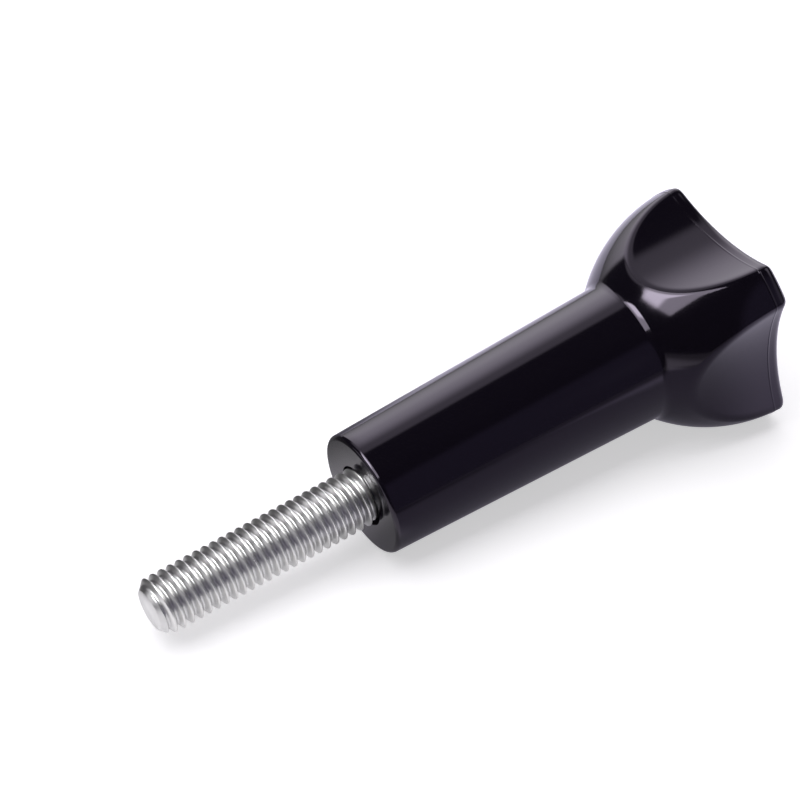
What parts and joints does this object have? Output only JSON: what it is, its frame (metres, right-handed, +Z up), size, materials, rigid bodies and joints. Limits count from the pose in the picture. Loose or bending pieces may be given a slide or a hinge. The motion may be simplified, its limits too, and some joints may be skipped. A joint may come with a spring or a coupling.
{
  "type": "thumb screw",
  "caption": "Long thumb screw: a scalloped black knob and tapered shank moulded in one over a steel bolt with a fine thread.",
  "frame": {"origin": "on the surface that the screw lies on, under the middle of its bounding box", "axes": "+X from the thread's tip towards the knob, in plan along the screw's axis, which climbs 5.32 degrees towards the knob; +Z up"},
  "size_m": [0.058, 0.0172, 0.0173],
  "materials": {
    "moulded_plastic": "black injection-moulded plastic with a smooth semi-gloss skin",
    "plated_steel": "bright silver plating on a rolled thread"
  },
  "bodies": {
    "root": {"handle": "moulded_plastic", "threaded_bolt": "plated_steel"}
  },
  "joints": []
}
